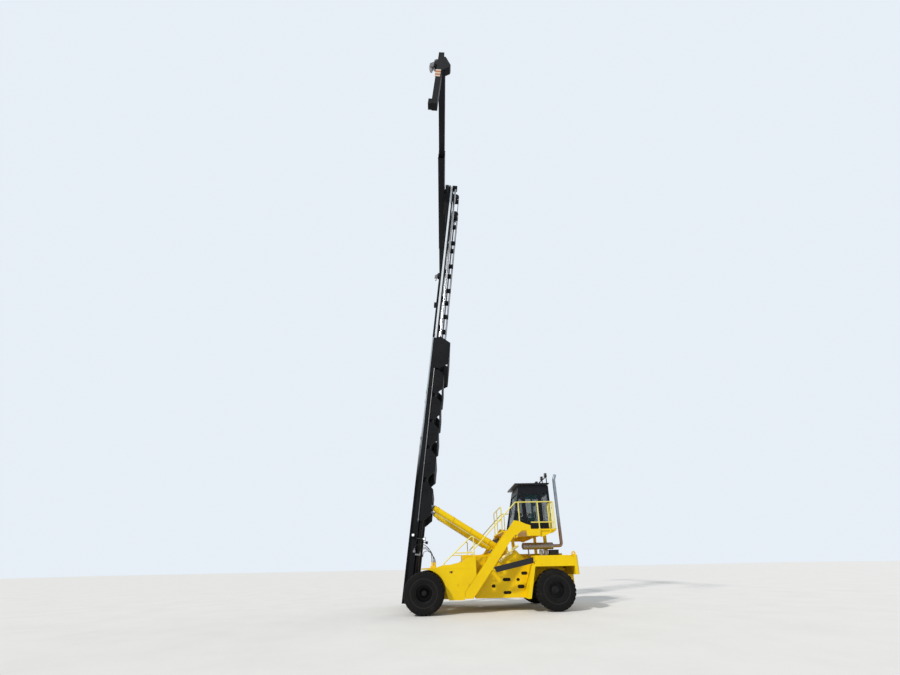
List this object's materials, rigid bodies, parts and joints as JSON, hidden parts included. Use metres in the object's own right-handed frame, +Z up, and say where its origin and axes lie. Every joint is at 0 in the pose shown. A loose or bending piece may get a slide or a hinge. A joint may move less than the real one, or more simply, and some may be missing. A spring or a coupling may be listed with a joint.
{
  "type": "empty container handler",
  "caption": "Four-wheeled empty container handler with a tilting two-stage mast, a raised driver's cab and a telescopic side-lift spreader.",
  "frame": {"origin": "on the ground, at the middle of the machine's box", "axes": "+X forward, from the counterweight to the mast; +Y to the machine's left; +Z up"},
  "size_m": [6.656, 12.1846, 23.155],
  "materials": {
    "yellow_paint": "gloss enamel with road dust",
    "black_paint": "satin black enamel, greasy along the slideways",
    "steel": "bare machined steel",
    "chrome": "hard chrome",
    "tyre": "dusty black rubber",
    "rim_paint": "satin black enamel",
    "cast": "painted casting",
    "grey_paint": "dark grey enamel",
    "cab_paint": "satin dark enamel",
    "exhaust_steel": "aluminised steel, heat dulled",
    "glass": "lightly tinted",
    "seat_fabric": "dark woven",
    "plastic": "moulded, matt",
    "lamp": "clear lens over a pale bowl",
    "plate_blank": "bare black panel",
    "hose_rubber": "black hydraulic hose, dusty",
    "hazard_paint": "orange and white reflective bands"
  },
  "bodies": {
    "chassis": {"chassis_frame": "yellow_paint", "counterweight": "cast", "front_axle": "grey_paint", "steer_axle": "grey_paint", "front_tank_left": "yellow_paint", "front_tank_right": "yellow_paint", "mudguard_left": "yellow_paint", "mudguard_right": "yellow_paint", "engine_hood": "yellow_paint", "engine_block": "grey_paint", "silencer": "exhaust_steel", "exhaust_stack": "chrome", "stairs": "yellow_paint", "railings": "yellow_paint", "cab_platform": "yellow_paint", "cab_shell": "cab_paint", "cab_roof": "cab_paint", "cab_glass": "glass", "driver_seat": "seat_fabric", "console": "plastic", "roof_lamps": "lamp", "valve_block": "grey_paint", "name_plates": "plate_blank", "hose_left_front": "hose_rubber", "hose_left_rear": "hose_rubber", "hose_right_front": "hose_rubber", "hose_right_rear": "hose_rubber"},
    "door": {"cab_door": "cab_paint", "door_glass": "glass"},
    "front_wheels_left": {"front_tyres_left": "tyre", "front_rim_left": "rim_paint"},
    "front_wheels_right": {"front_tyres_right": "tyre", "front_rim_right": "rim_paint"},
    "steer_knuckle_left": {"knuckle_left": "grey_paint"},
    "steer_knuckle_right": {"knuckle_right": "grey_paint"},
    "rear_wheel_left": {"rear_tyre_left": "tyre", "rear_rim_left": "rim_paint"},
    "rear_wheel_right": {"rear_tyre_right": "tyre", "rear_rim_right": "rim_paint"},
    "mast": {"outer_mast": "black_paint", "lift_barrels": "black_paint", "mast_pipes": "steel", "mast_lamps": "lamp"},
    "mast_stage": {"inner_mast": "black_paint", "lift_rods": "chrome", "chains_long": "steel"},
    "lift_carriage": {"carriage": "black_paint", "chains_short": "steel"},
    "spreader": {"spreader_frame": "black_paint"},
    "arm_left": {"spreader_arm_left": "black_paint", "hazard_plate_left": "hazard_paint"},
    "arm_right": {"spreader_arm_right": "black_paint", "hazard_plate_right": "hazard_paint"},
    "corner_hook_left": {"hook_left": "steel"},
    "corner_hook_right": {"hook_right": "steel"},
    "tilt_cylinder_left": {"tilt_barrel_left": "yellow_paint"},
    "tilt_cylinder_right": {"tilt_barrel_right": "yellow_paint"},
    "tilt_piston_left": {"tilt_rod_left": "chrome"},
    "tilt_piston_right": {"tilt_rod_right": "chrome"}
  },
  "joints": [
    {"name": "front_wheels_left_roll", "type": "hinge", "parent": "chassis", "child": "front_wheels_left", "pos_m": [2.47198, 1.646, 0.72], "axis": [0, 1, 0], "continuous": true},
    {"name": "steer_left", "type": "hinge", "parent": "chassis", "child": "steer_knuckle_left", "pos_m": [-2.23802, 1.23, 0.72], "axis": [0, 0, 1], "range_deg": [-50, 50]},
    {"name": "rear_wheel_left_roll", "type": "hinge", "parent": "steer_knuckle_left", "child": "rear_wheel_left", "pos_m": [-2.23802, 1.5, 0.72], "axis": [0, 1, 0], "continuous": true},
    {"name": "front_wheels_right_roll", "type": "hinge", "parent": "chassis", "child": "front_wheels_right", "pos_m": [2.47198, -1.646, 0.72], "axis": [0, 1, 0], "continuous": true},
    {"name": "steer_right", "type": "hinge", "parent": "chassis", "child": "steer_knuckle_right", "pos_m": [-2.23802, -1.23, 0.72], "axis": [0, 0, 1], "range_deg": [-50, 50]},
    {"name": "rear_wheel_right_roll", "type": "hinge", "parent": "steer_knuckle_right", "child": "rear_wheel_right", "pos_m": [-2.23802, -1.5, 0.72], "axis": [0, 1, 0], "continuous": true},
    {"name": "door_swing", "type": "hinge", "parent": "chassis", "child": "door", "pos_m": [-2.24202, 0.772, 3.3], "axis": [0, 0, 1], "range_deg": [0, 90]},
    {"name": "mast_tilt", "type": "hinge", "parent": "chassis", "child": "mast", "pos_m": [2.83198, 0, 0.66], "axis": [0, 1, 0], "range_deg": [0, 8.8]},
    {"name": "tilt_cylinder_left_swing", "type": "hinge", "parent": "chassis", "child": "tilt_cylinder_left", "pos_m": [-0.37802, 0.9, 2.22], "axis": [0, 1, 0], "range_deg": [0, 3.9]},
    {"name": "tilt_piston_left_travel", "type": "slide", "parent": "tilt_cylinder_left", "child": "tilt_piston_left", "axis": [0.8421, 0, 0.5393], "range_m": [0, 0.46]},
    {"name": "tilt_cylinder_right_swing", "type": "hinge", "parent": "chassis", "child": "tilt_cylinder_right", "pos_m": [-0.37802, -0.9, 2.22], "axis": [0, 1, 0], "range_deg": [0, 3.9]},
    {"name": "tilt_piston_right_travel", "type": "slide", "parent": "tilt_cylinder_right", "child": "tilt_piston_right", "axis": [0.8421, 0, 0.5393], "range_m": [0, 0.46]},
    {"name": "stage_lift", "type": "slide", "parent": "mast", "child": "mast_stage", "axis": [-0.1011, 0, 0.9949], "range_m": [-9.6, 0]},
    {"name": "carriage_lift", "type": "slide", "parent": "mast_stage", "child": "lift_carriage", "axis": [-0.1011, 0, 0.9949], "range_m": [-9.6, 0]},
    {"name": "side_shift", "type": "slide", "parent": "lift_carriage", "child": "spreader", "axis": [0, 1, 0], "range_m": [-0.3, 0.3]},
    {"name": "arm_left_reach", "type": "slide", "parent": "spreader", "child": "arm_left", "axis": [0, 1, 0], "range_m": [-3.066, 0]},
    {"name": "arm_right_reach", "type": "slide", "parent": "spreader", "child": "arm_right", "axis": [0, -1, 0], "range_m": [-3.066, 0]},
    {"name": "corner_hook_left_swing", "type": "hinge", "parent": "arm_left", "child": "corner_hook_left", "pos_m": [1.78791, 5.95, 22.51638], "axis": [0, 1, 0], "range_deg": [-60, 0]},
    {"name": "corner_hook_right_swing", "type": "hinge", "parent": "arm_right", "child": "corner_hook_right", "pos_m": [1.78791, -5.95, 22.51638], "axis": [0, 1, 0], "range_deg": [-60, 0]}
  ],
  "couplings": [
    {"joint": "steer_right", "follows": "steer_left", "ratio": 1},
    {"joint": "carriage_lift", "follows": "stage_lift", "ratio": 1},
    {"joint": "arm_right_reach", "follows": "arm_left_reach", "ratio": 1},
    {"joint": "corner_hook_right_swing", "follows": "corner_hook_left_swing", "ratio": 1},
    {"joint": "tilt_cylinder_left_swing", "follows": "mast_tilt", "ratio": 0.43497},
    {"joint": "tilt_piston_left_travel", "follows": "mast_tilt", "m_per_rad": 2.9808},
    {"joint": "tilt_cylinder_right_swing", "follows": "mast_tilt", "ratio": 0.43497},
    {"joint": "tilt_piston_right_travel", "follows": "mast_tilt", "m_per_rad": 2.9808}
  ]
}
